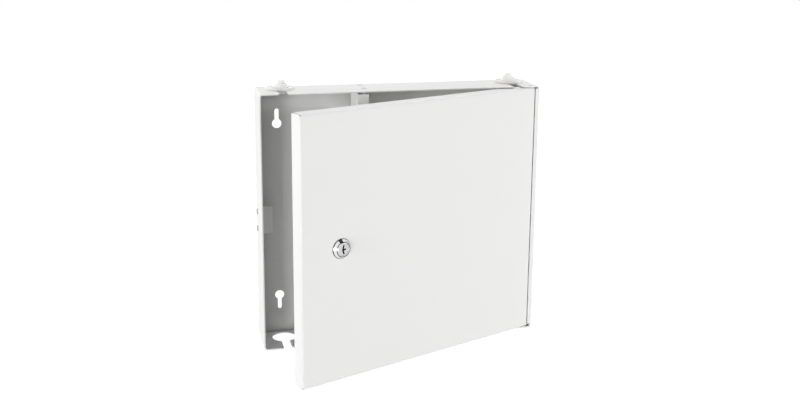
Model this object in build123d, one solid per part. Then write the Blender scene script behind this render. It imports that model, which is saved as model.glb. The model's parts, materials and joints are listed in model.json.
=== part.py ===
"""Small wall enclosure of painted sheet steel, with a hinged pan door, a cam lock,
an inner partition and two stepped cable grommets in its top panel.

Frame: millimetres, +Z up, origin at the centre of the back face, which lies on the wall.
+Y points into the wall and -Y out of the open front, towards the reader of the door.
The door is modelled shut and then turned about its hinge to the ajar rest position.
"""
from build123d import *
from math import atan2, cos, degrees, radians
import os

os.makedirs("parts", exist_ok=True)

# Case and sheet
CASE_WIDTH = 300.0
CASE_HEIGHT = 275.0
CASE_DEPTH = 50.0
SHEET = 1.2
CASE_CORNER_RADIUS = 3.2
BEND_RADIUS = 2.0
FRONT_FLANGE_WIDTH = 4.5
FRONT_FLANGE_FROM_TOP = 2.6
FRONT_FLANGE_FROM_BOTTOM = 4.4

# Back panel, let in between the walls at the back and welded round its edge
BACK_PANEL_FIT = 0.05

# Keyholes for the wall screws, in the back panel
KEYHOLE_FROM_SIDE = 23.0
KEYHOLE_FROM_TOP = 39.5
KEYHOLE_FROM_BOTTOM = 43.5
KEYHOLE_HEAD_DIAMETER = 10.0
KEYHOLE_SLOT_WIDTH = 4.5
KEYHOLE_SLOT_REACH = 16.0

# Cable entries in the top and bottom panels, open to the front
ENTRY_FROM_SIDE = 25.0
ENTRY_DIAMETER = 26.0
ENTRY_FROM_BACK = 19.0
ENTRY_SLOT_WIDTH = 9.0
ENTRY_SLOT_LEAD_IN = 1.5

# Grommets in the two top entries
GROMMET_FLANGE_DIAMETER = 29.4
GROMMET_FLANGE_THICKNESS = 1.7
GROMMET_RIM_HEIGHT = 0.7
GROMMET_RIM_WIDTH = 1.8
GROMMET_NECK_CLEARANCE = 0.1
GROMMET_GROOVE_CLEARANCE = 0.05
GROMMET_LIP_THICKNESS = 1.4
GROMMET_CONE_BASE_DIAMETER = 18.0
GROMMET_CONE_TIP_DIAMETER = 5.0
GROMMET_CONE_HEIGHT = 8.2
GROMMET_CONE_STEPS = 4
GROMMET_WALL = 1.5

# Cable tie bridges lanced out of the back panel
BRIDGE_LENGTH = 14.0
BRIDGE_WIDTH = 6.0
BRIDGE_RISE = 4.0
BRIDGE_WINDOW_MARGIN = 2.0
BRIDGE_FROM_LEFT = 52.0
BRIDGE_FROM_RIGHT = 90.0
BRIDGE_FROM_END = 67.5

# Partition between the two compartments
PARTITION_FROM_LEFT = 103.0
PARTITION_FLANGE_WIDTH = 13.0
PARTITION_TAB_WIDTH = 16.0
PARTITION_TAB_START = 3.0
PARTITION_TAB_LENGTH = 30.8
PARTITION_FLANGE_DROP = 4.6
PARTITION_DOOR_CLEARANCE = 1.2
PARTITION_CORNER_CLIP = 2.5
PARTITION_BEND_RADIUS = 1.8
PASSAGE_HEIGHT = 42.0
PASSAGE_WIDTH = 14.0
PASSAGE_PITCH = 84.0
PASSAGE_COUNT = 3

# Blind rivets
RIVET_HEAD_DIAMETER = 6.5
RIVET_HEAD_HEIGHT = 1.1
RIVET_SHANK_DIAMETER = 3.2
RIVET_HOLE_CLEARANCE = 0.05
RIVET_TAIL_DIAMETER = 4.8
RIVET_TAIL_LENGTH = 3.2
PARTITION_RIVET_Y = [-8.5, -30.5]
PARTITION_RIVET_FROM_WEB = 8.5
STRIKE_RIVET_Z = [4.5, -14.0]
STRIKE_RIVET_FROM_BACK = 9.0

# Strike bracket on the left wall, for the lock's cam
STRIKE_SHEET = 1.5
STRIKE_REACH = 12.3
STRIKE_TOP_Z = 14.5
STRIKE_HOOK_HEIGHT = 29.0
STRIKE_LEG_BOTTOM_Z = -20.5
STRIKE_LEG_FROM_BACK = 3.5
STRIKE_CAM_CLEARANCE = 0.45
STRIKE_BEND_RADIUS = 2.4

# Door: a pan with four flanges, inset between the case's walls
DOOR_OPEN_ANGLE = 22.0
DOOR_FLANGE_DEPTH = 15.0
DOOR_BEND_RADIUS = 1.8
DOOR_SIDE_GAP = 0.6
DOOR_HINGE_GAP = 0.5
DOOR_TOP_GAP = 0.6
DOOR_BOTTOM_GAP = 0.6
DOOR_CORNER_HOLE_DIAMETER = 1.9
DOOR_CORNER_SLIT = 0.3
DOOR_FLANGE_CORNER_RADIUS = 1.6

# Hinge: a headed pivot through each panel and the door flange next to it
HINGE_FROM_DOOR_EDGE = 3.3
HINGE_FROM_DOOR_FACE = 3.5
PIVOT_DIAMETER = 3.0
PIVOT_CLEARANCE = 0.1
PIVOT_HEAD_DIAMETER = 6.5
PIVOT_HEAD_HEIGHT = 1.3
PIVOT_TAIL_DIAMETER = 4.0
PIVOT_TAIL_HEIGHT = 1.2
PIVOT_END_PLAY = 0.15
PIVOT_WASHER_DIAMETER = 6.0

# Cam lock in the door
LOCK_FROM_DOOR_EDGE = 45.0
LOCK_Z = 0.0
LOCK_HEAD_OVERHANG = 1.1
LOCK_HEAD_FRONT_DIAMETER = 15.2
LOCK_FACE_DIAMETER = 14.0
LOCK_GROOVE_DEPTH = 0.9
LOCK_HEAD_HEIGHT = 3.8
LOCK_HEAD_EDGE = 0.9
LOCK_HEAD_ROUND = 0.3
LOCK_BARREL_DIAMETER = 18.0
LOCK_BARREL_FLAT_DEPTH = 1.2
LOCK_BARREL_LENGTH = 23.5
LOCK_HOLE_CLEARANCE = 0.1
LOCK_BARREL_WALL = 3.0
LOCK_FACE_SET_BACK = 0.2
LOCK_RUNNING_CLEARANCE = 0.05
LOCK_SQUARE_PER_PLUG = 7 / 12
LOCK_SQUARE_CLEARANCE = 0.05
KEYWAY_WIDTH = 1.7
KEYWAY_BENDS_PER_PLUG = [(0.017, 0.317), (-0.075, -0.05), (0.025, -0.333)]
KEYWAY_WARD_PER_PLUG = (0.167, 0.008)
KEYWAY_MARGIN = 1.2
WAFER_COUNT = 5
WAFER_THICKNESS = 1.1
WAFER_WIDTH_PER_PLUG = 7.4 / 12
WAFER_RIM = 0.75
WAFER_PITCH = 2.9
WAFER_FIRST = 5.0
WAFER_CLEARANCE = 0.08
LOCK_NUT_WALL = 3.0
LOCK_NUT_THICKNESS = 4.5
LOCK_NUT_CHAMFER = 0.7
LOCK_WASHER_WALL = 3.5
LOCK_WASHER_THICKNESS = 0.8
LOCK_WASHER_TEETH = 16
LOCK_WASHER_TOOTH_DEPTH = 1.4
CAM_THICKNESS = 2.0
CAM_WIDTH = 16.0
CAM_TIP_WIDTH = 11.0
CAM_REACH = 39.5
CAM_END_CLEARANCE = 0.1
STOP_WASHER_DIAMETER = 14.0
STOP_WASHER_THICKNESS = 1.2
CAM_SCREW_DIAMETER = 4.0
CAM_SCREW_LENGTH = 8.0
CAM_SCREW_HEAD_FLATS = 8.0
CAM_SCREW_HEAD_HEIGHT = 3.0

# Earth studs on the back panel and on the door
STUD_DIAMETER = 6.0
STUD_FOOT_DIAMETER = 7.6
STUD_FOOT_HEIGHT = 0.8
BODY_STUD_LENGTH = 18.0
DOOR_STUD_LENGTH = 12.0
STUD_CHAMFER = 0.6
STUD_BORE_CLEARANCE = 0.05
STUD_WASHER_DIAMETER = 12.0
STUD_WASHER_THICKNESS = 1.6
STUD_NUT_ACROSS_FLATS = 10.0
STUD_NUT_THICKNESS = 5.0
STUD_NUT_CHAMFER = 0.5
BODY_STUD_FROM_RIGHT = 32.0
BODY_STUD_FROM_BOTTOM = 25.5
DOOR_STUD_FROM_HINGE = 34.0
DOOR_STUD_FROM_DOOR_BOTTOM = 23.7

# Places that follow from the sizes above
HALF_WIDTH = CASE_WIDTH / 2
HALF_HEIGHT = CASE_HEIGHT / 2
INNER_X = HALF_WIDTH - SHEET
INNER_Z = HALF_HEIGHT - SHEET
FRONT_Y = -CASE_DEPTH
BACK_INSIDE_Y = -SHEET

ENTRY_X = HALF_WIDTH - ENTRY_FROM_SIDE
KEYHOLE_X = HALF_WIDTH - KEYHOLE_FROM_SIDE
KEYHOLE_TOP_Z = HALF_HEIGHT - KEYHOLE_FROM_TOP
KEYHOLE_BOTTOM_Z = KEYHOLE_FROM_BOTTOM - HALF_HEIGHT
BRIDGE_LEFT_X = BRIDGE_FROM_LEFT - HALF_WIDTH
BRIDGE_RIGHT_X = HALF_WIDTH - BRIDGE_FROM_RIGHT
BRIDGE_Z = HALF_HEIGHT - BRIDGE_FROM_END
BRIDGE_PLACES = [(x, z) for x in (BRIDGE_LEFT_X, BRIDGE_RIGHT_X) for z in (BRIDGE_Z, -BRIDGE_Z)]
PARTITION_LEFT_X = PARTITION_FROM_LEFT - HALF_WIDTH
BODY_STUD_X = HALF_WIDTH - BODY_STUD_FROM_RIGHT
BODY_STUD_Z = BODY_STUD_FROM_BOTTOM - HALF_HEIGHT

DOOR_INSIDE_Y = FRONT_Y + SHEET
DOOR_LEFT_X = -INNER_X + DOOR_SIDE_GAP
DOOR_RIGHT_X = HALF_WIDTH - FRONT_FLANGE_WIDTH - DOOR_HINGE_GAP
DOOR_TOP_Z = INNER_Z - DOOR_TOP_GAP
DOOR_BOTTOM_Z = -INNER_Z + DOOR_BOTTOM_GAP
DOOR_STUD_Z = DOOR_BOTTOM_Z + DOOR_STUD_FROM_DOOR_BOTTOM
HINGE_X = DOOR_RIGHT_X - HINGE_FROM_DOOR_EDGE
HINGE_Y = FRONT_Y + HINGE_FROM_DOOR_FACE
PARTITION_FRONT_Y = FRONT_Y + DOOR_FLANGE_DEPTH + PARTITION_DOOR_CLEARANCE
LOCK_X = DOOR_LEFT_X + LOCK_FROM_DOOR_EDGE
LOCK_REAR_Y = FRONT_Y + LOCK_BARREL_LENGTH
LOCK_HEAD_DIAMETER = LOCK_BARREL_DIAMETER + 2 * LOCK_HEAD_OVERHANG
LOCK_BARREL_FLATS = LOCK_BARREL_DIAMETER - 2 * LOCK_BARREL_FLAT_DEPTH
LOCK_PLUG_DIAMETER = LOCK_BARREL_DIAMETER - 2 * LOCK_BARREL_WALL
LOCK_SQUARE = LOCK_PLUG_DIAMETER * LOCK_SQUARE_PER_PLUG
WAFER_WIDTH = LOCK_PLUG_DIAMETER * WAFER_WIDTH_PER_PLUG
LOCK_NUT_ACROSS_FLATS = LOCK_BARREL_DIAMETER + 2 * LOCK_NUT_WALL
LOCK_WASHER_DIAMETER = LOCK_BARREL_DIAMETER + 2 * LOCK_WASHER_WALL
STRIKE_FRONT_Y = LOCK_REAR_Y + CAM_END_CLEARANCE - STRIKE_CAM_CLEARANCE - STRIKE_SHEET
HINGE_AXIS = Axis((HINGE_X, HINGE_Y, 0), (0, 0, 1))

CUT_MARGIN = 5.0


def block(x_range, y_range, z_range):
    """A box between three pairs of coordinates, given in any order."""
    x_low, x_high = sorted(x_range)
    y_low, y_high = sorted(y_range)
    z_low, z_high = sorted(z_range)
    centre = Pos((x_low + x_high) / 2, (y_low + y_high) / 2, (z_low + z_high) / 2)
    return centre * Box(x_high - x_low, y_high - y_low, z_high - z_low)


def rod_along_z(radius, x, y, z_range):
    """A round bar standing upright between two heights."""
    z_low, z_high = sorted(z_range)
    return Pos(x, y, (z_low + z_high) / 2) * Cylinder(radius, z_high - z_low)


def rod_along_y(radius, x, z, y_range):
    """A round bar lying front to back between two depths."""
    y_low, y_high = sorted(y_range)
    return Pos(x, (y_low + y_high) / 2, z) * Rot(90, 0, 0) * Cylinder(radius, y_high - y_low)


def rod_along_x(radius, y, z, x_range):
    """A round bar lying left to right between two places."""
    x_low, x_high = sorted(x_range)
    return Pos((x_low + x_high) / 2, y, z) * Rot(0, 90, 0) * Cylinder(radius, x_high - x_low)


def turned(points):
    """A turned piece from its half section, given as (radius, height) points."""
    outline = Polyline(*[(radius, 0, height) for radius, height in points], close=True)
    return revolve(make_face(outline), Axis.Z)


def on_open_door(piece):
    """Turn a piece from the shut door to the ajar rest position."""
    return piece.rotate(HINGE_AXIS, DOOR_OPEN_ANGLE)


def rivet_places():
    """Where the blind rivets sit, as (place with its head outwards, name) pairs."""
    x = PARTITION_LEFT_X + PARTITION_RIVET_FROM_WEB
    top = [Pos(x, y, HALF_HEIGHT) for y in PARTITION_RIVET_Y]
    bottom = [Pos(x, y, -HALF_HEIGHT) * Rot(180, 0, 0) for y in PARTITION_RIVET_Y]
    wall = [Pos(-HALF_WIDTH, -STRIKE_RIVET_FROM_BACK, z) * Rot(0, -90, 0) for z in STRIKE_RIVET_Z]
    return top + bottom, wall


def rivet_holes(places, depth):
    """Clearance holes for rivets, drilled inwards from the outer face."""
    radius = RIVET_SHANK_DIAMETER / 2 + RIVET_HOLE_CLEARANCE
    drill = Cylinder(radius, 2 * depth)
    return [place * drill for place in places]


def keyhole(x, z, slot_direction):
    """A round hole for the screw's head, and the narrow slot that it hangs in."""
    depth = (-SHEET - CUT_MARGIN, CUT_MARGIN)
    slot_end = z + slot_direction * (KEYHOLE_SLOT_REACH - KEYHOLE_SLOT_WIDTH / 2)
    half_slot = KEYHOLE_SLOT_WIDTH / 2
    head = rod_along_y(KEYHOLE_HEAD_DIAMETER / 2, x, z, depth)
    slot = block((x - half_slot, x + half_slot), depth, (z, slot_end))
    return head + slot + rod_along_y(half_slot, x, slot_end, depth)


def cable_entry(x, z):
    """A round entry with a slot to the front edge, its mouth eased on both sides."""
    span = (z - SHEET * 2, z + SHEET * 2)
    half_slot = ENTRY_SLOT_WIDTH / 2
    hole = rod_along_z(ENTRY_DIAMETER / 2, x, -ENTRY_FROM_BACK, span)
    slot = block((x - half_slot, x + half_slot), (-ENTRY_FROM_BACK, FRONT_Y - CUT_MARGIN), span)
    mouth_half = half_slot + ENTRY_SLOT_LEAD_IN
    mouth = Polyline(
        (x - mouth_half, FRONT_Y), (x - half_slot, FRONT_Y + ENTRY_SLOT_LEAD_IN),
        (x + half_slot, FRONT_Y + ENTRY_SLOT_LEAD_IN), (x + mouth_half, FRONT_Y), close=True)
    easing = Pos(0, 0, span[0]) * extrude(make_face(mouth), span[1] - span[0], dir=(0, 0, 1))
    return hole + slot + easing


def tie_bridge(x, z):
    """The window and the arched strip of one lanced bridge, running left to right."""
    half_length = BRIDGE_LENGTH / 2
    half_width = BRIDGE_WIDTH / 2
    window_half = half_width + BRIDGE_WINDOW_MARGIN
    window = block((x - half_length, x + half_length), (CUT_MARGIN, -SHEET - CUT_MARGIN),
                   (z - window_half, z + window_half))
    outer = ThreePointArc((x - half_length, BACK_INSIDE_Y), (x, BACK_INSIDE_Y - BRIDGE_RISE),
                          (x + half_length, BACK_INSIDE_Y))
    inner = ThreePointArc((x + half_length, 0), (x, -BRIDGE_RISE), (x - half_length, 0))
    sides = [Line(outer @ 1, inner @ 0), Line(inner @ 1, outer @ 0)]
    section = make_face([outer, sides[0], inner, sides[1]])
    strip = Pos(0, 0, z - half_width) * extrude(section, BRIDGE_WIDTH, dir=(0, 0, 1))
    return window, strip


def hinge_bore(z):
    """The hole for a pivot through the panel or door flange at one height."""
    radius = (PIVOT_DIAMETER + PIVOT_CLEARANCE) / 2
    return rod_along_z(radius, HINGE_X, HINGE_Y, (z - SHEET * 2, z + SHEET * 2))


def right_wall_front():
    """The narrow front flange of the right wall, beside the door's hinge edge."""
    span = (FRONT_FLANGE_FROM_BOTTOM - HALF_HEIGHT, HALF_HEIGHT - FRONT_FLANGE_FROM_TOP)
    return block((HALF_WIDTH - FRONT_FLANGE_WIDTH, HALF_WIDTH), (FRONT_Y, FRONT_Y + SHEET), span)


def right_wall_notches():
    """The two corner reliefs in the right wall, above and below its front flange."""
    inner_edge_x = HALF_WIDTH - FRONT_FLANGE_WIDTH
    depth = (FRONT_Y - CUT_MARGIN, FRONT_Y + SHEET)
    top = block((inner_edge_x, HALF_WIDTH + CUT_MARGIN), depth,
                (HALF_HEIGHT - FRONT_FLANGE_FROM_TOP, HALF_HEIGHT - SHEET))
    bottom = block((inner_edge_x, HALF_WIDTH + CUT_MARGIN), depth,
                   (FRONT_FLANGE_FROM_BOTTOM - HALF_HEIGHT, SHEET - HALF_HEIGHT))
    return [top, bottom]


def right_front_bend():
    """What lies outside the bend between the right wall and its front flange."""
    span = (FRONT_FLANGE_FROM_BOTTOM - HALF_HEIGHT, HALF_HEIGHT - FRONT_FLANGE_FROM_TOP)
    square = block((HALF_WIDTH - BEND_RADIUS, HALF_WIDTH + CUT_MARGIN),
                   (FRONT_Y - CUT_MARGIN, FRONT_Y + BEND_RADIUS), span)
    return square - rod_along_z(BEND_RADIUS, HALF_WIDTH - BEND_RADIUS, FRONT_Y + BEND_RADIUS,
                                (span[0] - CUT_MARGIN, span[1] + CUT_MARGIN))


def wall_ring():
    """All four walls as one rounded ring, with every opening, before it is parted."""
    outer = block((-HALF_WIDTH, HALF_WIDTH), (0, FRONT_Y), (-HALF_HEIGHT, HALF_HEIGHT))
    outer = fillet(outer.edges().filter_by(Axis.Y), CASE_CORNER_RADIUS)
    inner = block((-INNER_X, INNER_X), (CUT_MARGIN, FRONT_Y - CUT_MARGIN), (-INNER_Z, INNER_Z))
    inner = fillet(inner.edges().filter_by(Axis.Y), CASE_CORNER_RADIUS - SHEET)
    cuts = []
    for z in (-HALF_HEIGHT, HALF_HEIGHT):
        cuts.append(cable_entry(-ENTRY_X, z))
        cuts.append(cable_entry(ENTRY_X, z))
        cuts.append(hinge_bore(z))
    partition_places, strike_places = rivet_places()
    cuts += rivet_holes(partition_places + strike_places, SHEET + RIVET_HEAD_HEIGHT)
    return outer - inner - cuts


def case_walls():
    """The side walls with their bends, and the flat panels welded between them."""
    ring = wall_ring()
    depth = (CUT_MARGIN, FRONT_Y - CUT_MARGIN)
    seam_x = HALF_WIDTH - CASE_CORNER_RADIUS
    past_x = HALF_WIDTH + CUT_MARGIN
    past_z = HALF_HEIGHT + CUT_MARGIN
    right_wall = ring & block((seam_x, past_x), depth, (-past_z, past_z))
    right_wall = right_wall + right_wall_front() - right_wall_notches() - right_front_bend()
    return {
        "left_wall": ring & block((-past_x, -seam_x), depth, (-past_z, past_z)),
        "right_wall": right_wall,
        "top_panel": ring & block((-seam_x, seam_x), depth, (0, past_z)),
        "bottom_panel": ring & block((-seam_x, seam_x), depth, (-past_z, 0)),
    }


def back_panel():
    """The flat back panel, with its keyholes and lanced cable tie bridges."""
    half_width = INNER_X - BACK_PANEL_FIT
    half_height = INNER_Z - BACK_PANEL_FIT
    panel = block((-half_width, half_width), (0, BACK_INSIDE_Y), (-half_height, half_height))
    panel = fillet(panel.edges().filter_by(Axis.Y), CASE_CORNER_RADIUS - SHEET)
    cuts = []
    for x in (-KEYHOLE_X, KEYHOLE_X):
        cuts.append(keyhole(x, KEYHOLE_TOP_Z, 1))
        cuts.append(keyhole(x, KEYHOLE_BOTTOM_Z, -1))
    strips = []
    for x, z in BRIDGE_PLACES:
        window, strip = tie_bridge(x, z)
        cuts.append(window)
        strips.append(strip)
    return panel - cuts + strips


def folded_angle(x, y, first_leg, second_leg, thickness, radius, z_range):
    """An upright angle bent at (x, y): one leg runs back along +Y, one right along +X."""
    inside = radius - thickness
    outline = make_face(Polyline(
        (x, y), (x + second_leg, y), (x + second_leg, y + thickness),
        (x + thickness, y + thickness), (x + thickness, y + first_leg), (x, y + first_leg),
        close=True))
    corners = outline.vertices()
    outer = [v for v in corners if abs(v.X - x) < 0.01 and abs(v.Y - y) < 0.01]
    inner = [v for v in corners
             if abs(v.X - x - thickness) < 0.01 and abs(v.Y - y - thickness) < 0.01]
    outline = fillet(outer, radius)
    inner = [v for v in outline.vertices()
             if abs(v.X - x - thickness) < 0.01 and abs(v.Y - y - thickness) < 0.01]
    outline = fillet(inner, inside)
    height = z_range[1] - z_range[0]
    return Pos(0, 0, z_range[0]) * extrude(outline, height, dir=(0, 0, 1))


def partition_plate():
    """The folded partition: web, front flange, and a riveted tab at each end."""
    flange_half = INNER_Z - PARTITION_FLANGE_DROP
    depth = BACK_INSIDE_Y - PARTITION_FRONT_Y
    plate = folded_angle(PARTITION_LEFT_X, PARTITION_FRONT_Y, depth, PARTITION_FLANGE_WIDTH,
                         SHEET, PARTITION_BEND_RADIUS, (-flange_half, flange_half))
    web_x = (PARTITION_LEFT_X, PARTITION_LEFT_X + SHEET)
    tab_x = (PARTITION_LEFT_X, PARTITION_LEFT_X + PARTITION_TAB_WIDTH)
    tab_y = (-PARTITION_TAB_START, -PARTITION_TAB_START - PARTITION_TAB_LENGTH)
    web_y = (BACK_INSIDE_Y, tab_y[1])
    for end in (-1, 1):
        web = block(web_x, web_y, (end * (flange_half - CUT_MARGIN), end * INNER_Z))
        tab = block(tab_x, tab_y, (end * (INNER_Z - SHEET), end * INNER_Z))
        clip = block((PARTITION_LEFT_X - CUT_MARGIN, PARTITION_LEFT_X + CUT_MARGIN),
                     (CUT_MARGIN, BACK_INSIDE_Y - PARTITION_CORNER_CLIP),
                     (end * (INNER_Z - PARTITION_CORNER_CLIP), end * (INNER_Z + CUT_MARGIN)))
        plate = plate + (web + tab - clip)

    passage_y = (BACK_INSIDE_Y + PARTITION_FRONT_Y) / 2
    half_straight = (PASSAGE_HEIGHT - PASSAGE_WIDTH) / 2
    half_width = PASSAGE_WIDTH / 2
    through = (PARTITION_LEFT_X - CUT_MARGIN, PARTITION_LEFT_X + CUT_MARGIN)
    for index in range(PASSAGE_COUNT):
        z = (index - (PASSAGE_COUNT - 1) / 2) * PASSAGE_PITCH
        plate -= block(through, (passage_y - half_width, passage_y + half_width),
                       (z - half_straight, z + half_straight))
        for end in (-1, 1):
            plate -= rod_along_x(half_width, passage_y, z + end * half_straight, through)
    holes = rivet_holes(rivet_places()[0], 2 * SHEET + RIVET_HEAD_HEIGHT)
    return plate - holes


def blind_rivet(grip):
    """A set blind rivet, head up with its underside at zero, pulled up below the grip."""
    head = RIVET_HEAD_DIAMETER / 2
    shank = RIVET_SHANK_DIAMETER / 2
    tail = RIVET_TAIL_DIAMETER / 2
    mandrel = shank / 2
    tail_end = -grip - RIVET_TAIL_LENGTH
    return turned([
        (0, RIVET_HEAD_HEIGHT * 0.7), (mandrel, RIVET_HEAD_HEIGHT * 0.7),
        (mandrel, RIVET_HEAD_HEIGHT), (head * 0.6, RIVET_HEAD_HEIGHT * 0.9),
        (head * 0.9, RIVET_HEAD_HEIGHT * 0.45), (head, 0), (shank, 0), (shank, -grip),
        (tail, -grip), (tail, tail_end + RIVET_TAIL_LENGTH / 3), (shank, tail_end), (0, tail_end)])


def strike_bracket():
    """The folded angle on the left wall that the cam turns behind."""
    leg_depth = -STRIKE_LEG_FROM_BACK - STRIKE_FRONT_Y
    hook_bottom = STRIKE_TOP_Z - STRIKE_HOOK_HEIGHT
    angle = folded_angle(-INNER_X, STRIKE_FRONT_Y, leg_depth, STRIKE_REACH, STRIKE_SHEET,
                         STRIKE_BEND_RADIUS, (hook_bottom, STRIKE_TOP_Z))
    foot = block((-INNER_X, -INNER_X + STRIKE_SHEET),
                 (-STRIKE_LEG_FROM_BACK, STRIKE_FRONT_Y + STRIKE_BEND_RADIUS),
                 (STRIKE_LEG_BOTTOM_Z, hook_bottom + SHEET))
    bracket = angle + foot
    return bracket - rivet_holes(rivet_places()[1], SHEET + STRIKE_SHEET + RIVET_HEAD_HEIGHT)


def door_panel():
    """The pan: face and four flanges with relieved corners, drilled for lock and pivots."""
    flange_back_y = FRONT_Y + DOOR_FLANGE_DEPTH
    outer = block((DOOR_LEFT_X, DOOR_RIGHT_X), (FRONT_Y, flange_back_y),
                  (DOOR_BOTTOM_Z, DOOR_TOP_Z))
    outer = fillet(outer.faces().sort_by(Axis.Y)[0].edges(), DOOR_BEND_RADIUS)
    hollow = block((DOOR_LEFT_X + SHEET, DOOR_RIGHT_X - SHEET),
                   (DOOR_INSIDE_Y, flange_back_y + CUT_MARGIN),
                   (DOOR_BOTTOM_Z + SHEET, DOOR_TOP_Z - SHEET))
    hollow = fillet(hollow.faces().sort_by(Axis.Y)[0].edges(), DOOR_BEND_RADIUS - SHEET)
    panel = outer - hollow
    for side, edge_x in ((1, DOOR_LEFT_X), (-1, DOOR_RIGHT_X)):
        for rise, edge_z in ((1, DOOR_TOP_Z), (-1, DOOR_BOTTOM_Z)):
            panel -= corner_relief(edge_x, side, edge_z, rise)
            panel -= flange_corner(edge_x, edge_z, rise)
    for z in (DOOR_TOP_Z, DOOR_BOTTOM_Z):
        panel -= hinge_bore(z)
    return panel - lock_hole()


def corner_relief(edge_x, side, edge_z, rise):
    """The drilled corner and the mitre slit between a side flange and an end flange."""
    inset = DOOR_BEND_RADIUS / 2
    corner = (edge_x + side * inset, FRONT_Y + inset, edge_z - rise * inset)
    drill_plane = Plane(origin=corner, z_dir=(side, 1, -rise))
    drill = drill_plane * Cylinder(DOOR_CORNER_HOLE_DIAMETER / 2, 4 * DOOR_BEND_RADIUS)
    slit_length = DOOR_FLANGE_DEPTH - DOOR_BEND_RADIUS + CUT_MARGIN
    place = Pos(edge_x, FRONT_Y + DOOR_BEND_RADIUS + slit_length / 2, edge_z)
    slit = place * Rot(0, side * rise * 45, 0) * Box(6 * SHEET, slit_length, DOOR_CORNER_SLIT)
    return drill + slit


def flange_corner(edge_x, edge_z, rise):
    """What lies outside the rounded back corner of a side flange."""
    radius = DOOR_FLANGE_CORNER_RADIUS
    back_y = FRONT_Y + DOOR_FLANGE_DEPTH
    x_range = (edge_x - 2 * SHEET, edge_x + 2 * SHEET)
    square = block(x_range, (back_y - radius, back_y + CUT_MARGIN),
                   (edge_z - rise * radius, edge_z + rise * CUT_MARGIN))
    return square - rod_along_x(radius, back_y - radius, edge_z - rise * radius,
                                (x_range[0] - SHEET, x_range[1] + SHEET))


def lock_hole():
    """The double-flat hole for the lock's barrel."""
    depth = (FRONT_Y - CUT_MARGIN, DOOR_INSIDE_Y + CUT_MARGIN)
    half_flats = LOCK_BARREL_FLATS / 2 + LOCK_HOLE_CLEARANCE
    round_hole = rod_along_y(LOCK_BARREL_DIAMETER / 2 + LOCK_HOLE_CLEARANCE, LOCK_X, LOCK_Z, depth)
    return round_hole & block((LOCK_X - half_flats, LOCK_X + half_flats), depth,
                              (LOCK_Z - LOCK_BARREL_DIAMETER, LOCK_Z + LOCK_BARREL_DIAMETER))


def grommet():
    """A stepped cone grommet, built on the hole's axis with the panel's top at zero."""
    flange = GROMMET_FLANGE_DIAMETER / 2
    neck = ENTRY_DIAMETER / 2 - GROMMET_NECK_CLEARANCE
    top = GROMMET_FLANGE_THICKNESS
    groove_bottom = -SHEET - GROMMET_GROOVE_CLEARANCE
    lip_bottom = groove_bottom - GROMMET_LIP_THICKNESS
    base = GROMMET_CONE_BASE_DIAMETER / 2
    tip = GROMMET_CONE_TIP_DIAMETER / 2
    step_in = (base - tip) / GROMMET_CONE_STEPS
    step_up = GROMMET_CONE_HEIGHT / GROMMET_CONE_STEPS

    rim_top = top + GROMMET_RIM_HEIGHT
    outline = [(flange, 0), (flange, rim_top - 0.4), (flange - 0.4, rim_top),
               (flange - GROMMET_RIM_WIDTH, rim_top), (flange - GROMMET_RIM_WIDTH - 0.6, top),
               (base, top)]
    for index in range(GROMMET_CONE_STEPS):
        radius = base - index * step_in
        height = top + index * step_up
        outline.append((radius - 0.25 * step_in, height + 0.8 * step_up))
        outline.append((radius - step_in, height + step_up))
    crown = outline[-1][1]
    outline += [(0, crown), (0, crown - GROMMET_WALL), (tip - 0.5, crown - GROMMET_WALL),
                (base - GROMMET_WALL, top - GROMMET_WALL / 2), (neck - 3 * GROMMET_WALL, 0),
                (neck - 2 * GROMMET_WALL, lip_bottom), (flange - 0.6, lip_bottom),
                (flange - 0.2, groove_bottom), (neck, groove_bottom), (neck, 0)]
    return turned(outline)


def place_grommet(side):
    """One grommet seated in its top entry."""
    return Pos(side * ENTRY_X, -ENTRY_FROM_BACK, HALF_HEIGHT) * grommet()


def pivot(end, door_edge_z):
    """One headed pivot: head outside its panel, tail inside the door's flange."""
    radius = PIVOT_DIAMETER / 2
    head = PIVOT_HEAD_DIAMETER / 2
    tail = PIVOT_TAIL_DIAMETER / 2
    grip = HALF_HEIGHT - abs(door_edge_z) + SHEET + PIVOT_END_PLAY
    profile = turned([
        (0, PIVOT_HEAD_HEIGHT), (head * 0.45, PIVOT_HEAD_HEIGHT * 0.95),
        (head * 0.85, PIVOT_HEAD_HEIGHT * 0.6), (head, 0), (radius, 0), (radius, -grip),
        (tail, -grip), (tail, -grip - PIVOT_TAIL_HEIGHT * 0.6), (radius, -grip - PIVOT_TAIL_HEIGHT),
        (0, -grip - PIVOT_TAIL_HEIGHT)])
    facing = Rot(0, 0, 0) if end > 0 else Rot(180, 0, 0)
    return Pos(HINGE_X, HINGE_Y, end * HALF_HEIGHT) * facing * profile


def pivot_washer(end, door_edge_z):
    """The nylon washer on a pivot, between its panel and the door's flange."""
    z_range = (door_edge_z + end * PIVOT_CLEARANCE, end * INNER_Z)
    bore = rod_along_z((PIVOT_DIAMETER + PIVOT_CLEARANCE) / 2, HINGE_X, HINGE_Y,
                       (min(z_range) - CUT_MARGIN, max(z_range) + CUT_MARGIN))
    return rod_along_z(PIVOT_WASHER_DIAMETER / 2, HINGE_X, HINGE_Y, z_range) - bore


def lock_piece(points):
    """A turned lock piece from (radius, depth) points, depth counted in from the door's face."""
    lying = Rot(-90, 0, 0) * turned(points)
    return Pos(LOCK_X, FRONT_Y, LOCK_Z) * lying


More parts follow.
